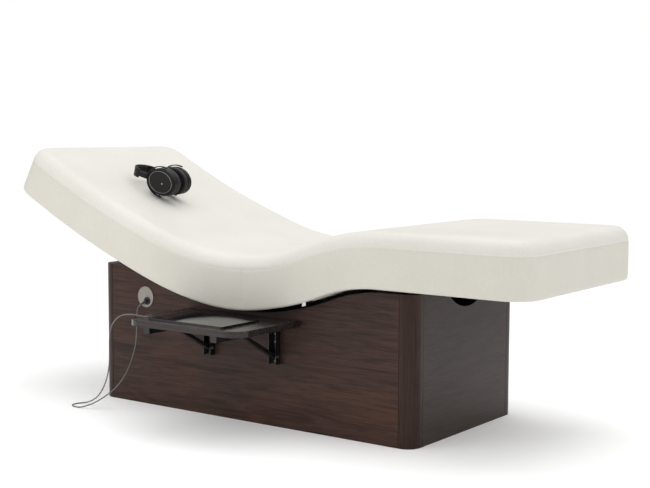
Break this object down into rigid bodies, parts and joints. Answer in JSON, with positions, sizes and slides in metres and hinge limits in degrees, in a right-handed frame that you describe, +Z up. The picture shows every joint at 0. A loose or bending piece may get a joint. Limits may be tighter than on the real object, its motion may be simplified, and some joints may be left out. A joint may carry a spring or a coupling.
{
  "type": "facial treatment bed",
  "caption": "Treatment bed with a one-piece wave cushion on a lifting frame in a dark wood box base, with a folding side tray, tablet and headphones.",
  "frame": {"origin": "on the floor under the cushion's lowest point, midway between the base's two long sides", "axes": "+X to the foot end, -Y to the side with the folding tray and the jack socket, +Z up"},
  "size_m": [2.1745, 1.047, 0.9178],
  "materials": {
    "veneer": "dark stained open-grain veneer, satin lacquer",
    "tray_veneer": "dark stained veneer under a hard satin lacquer",
    "board": "black stained plywood",
    "leatherette": "ivory leatherette, fine grain, satin",
    "foam": "soft foam",
    "frame_steel": "black powder coat",
    "column_aluminium": "satin anodised",
    "black_plastic": "fine moulded texture",
    "amplifier_case": "black crinkle paint",
    "bracket_black": "black powder coat, semi-gloss",
    "bright_steel": "zinc plated",
    "socket_metal": "satin, light grey",
    "foot_rubber": "black",
    "cord_rubber": "mid grey, smooth",
    "tablet_body": "black, satin edge",
    "tablet_screen": "polished glass over a light screen",
    "phones_shell": "soft-touch dark brown-black",
    "phones_pad": "soft black leatherette"
  },
  "bodies": {
    "root": {"front_panel": "veneer", "back_panel": "veneer", "head_end_panel": "veneer", "foot_end_panel": "veneer", "front_head_post": "veneer", "front_foot_post": "veneer", "back_head_post": "veneer", "back_foot_post": "veneer", "bottom_board": "board", "levelling_feet": "foot_rubber", "floor_rails": "frame_steel", "floor_cross_members": "frame_steel", "head_column_outer": "column_aluminium", "foot_column_outer": "column_aluminium", "column_motors": "black_plastic", "outer_glide_collars": "black_plastic", "lift_control_box": "black_plastic", "audio_amplifier": "amplifier_case", "mains_inlet": "black_plastic", "socket_plate": "socket_metal", "jack_socket": "black_plastic", "jack_plug": "black_plastic", "cord": "cord_rubber", "left_wall_arm": "bracket_black", "right_wall_arm": "bracket_black", "wall_arm_screws": "bright_steel", "strut_pivot_pins": "bright_steel"},
    "lift_frame": {"cushion_cover": "leatherette", "cushion_core": "foam", "wave_board": "board", "wave_ribs": "frame_steel", "crossbeams": "frame_steel", "foot_beam": "frame_steel", "column_top_plates": "frame_steel", "head_column_inner": "column_aluminium", "foot_column_inner": "column_aluminium", "cushion_edge_clips": "bright_steel"},
    "middle_stages": {"head_column_middle": "column_aluminium", "foot_column_middle": "column_aluminium", "middle_glide_collars": "black_plastic"},
    "tray": {"tray_board": "tray_veneer", "left_shelf_arm": "bracket_black", "right_shelf_arm": "bracket_black", "shelf_arm_screws": "bright_steel", "tray_hinge_pins": "bright_steel", "tablet_case": "tablet_body", "tablet_glass": "tablet_screen", "tablet_plug": "black_plastic"},
    "struts": {"left_strut": "bracket_black", "right_strut": "bracket_black", "strut_rollers": "bright_steel"},
    "headphones": {"headband": "phones_shell", "headband_pad": "phones_pad"},
    "near_yoke": {"near_yoke": "phones_shell"},
    "far_yoke": {"far_yoke": "phones_shell"},
    "near_cup": {"near_ear_cup": "phones_shell", "near_ear_cushion": "phones_pad"},
    "far_cup": {"far_ear_cup": "phones_shell", "far_ear_cushion": "phones_pad"}
  },
  "joints": [
    {"name": "lift", "type": "slide", "parent": "root", "child": "lift_frame", "axis": [0, 0, 1], "range_m": [0, 0.3]},
    {"name": "middle_stage_slide", "type": "slide", "parent": "root", "child": "middle_stages", "axis": [0, 0, 1], "range_m": [0, 0.151]},
    {"name": "tray_fold", "type": "hinge", "parent": "root", "child": "tray", "pos_m": [0, -0.346, 0.3335], "axis": [1, 0, 0], "range_deg": [0, 90]},
    {"name": "strut_swing", "type": "hinge", "parent": "root", "child": "struts", "pos_m": [0, -0.346, 0.2384], "axis": [1, 0, 0], "range_deg": [0, 119]},
    {"name": "headphones_lift_off", "type": "slide", "parent": "lift_frame", "child": "headphones", "axis": [0.3932, 0, 0.9195], "range_m": [0, 0.12]},
    {"name": "near_yoke_slide", "type": "slide", "parent": "headphones", "child": "near_yoke", "axis": [0.9571, 0.0968, -0.273], "range_m": [0, 0.02]},
    {"name": "far_yoke_slide", "type": "slide", "parent": "headphones", "child": "far_yoke", "axis": [0.9571, 0.0968, -0.273], "range_m": [0, 0.02]},
    {"name": "near_cup_swivel", "type": "hinge", "parent": "near_yoke", "child": "near_cup", "pos_m": [-0.57437, -0.12678, 0.78709], "axis": [0.2754, -0.0122, 0.9613], "range_deg": [-10, 10]},
    {"name": "far_cup_swivel", "type": "hinge", "parent": "far_yoke", "child": "far_cup", "pos_m": [-0.58262, -0.03522, 0.79062], "axis": [0.2754, -0.0122, 0.9613], "range_deg": [-10, 10]}
  ],
  "couplings": [
    {"joint": "middle_stage_slide", "follows": "lift", "ratio": 0.5},
    {"joint": "strut_swing", "follows": "tray_fold", "ratio": 1.32}
  ]
}
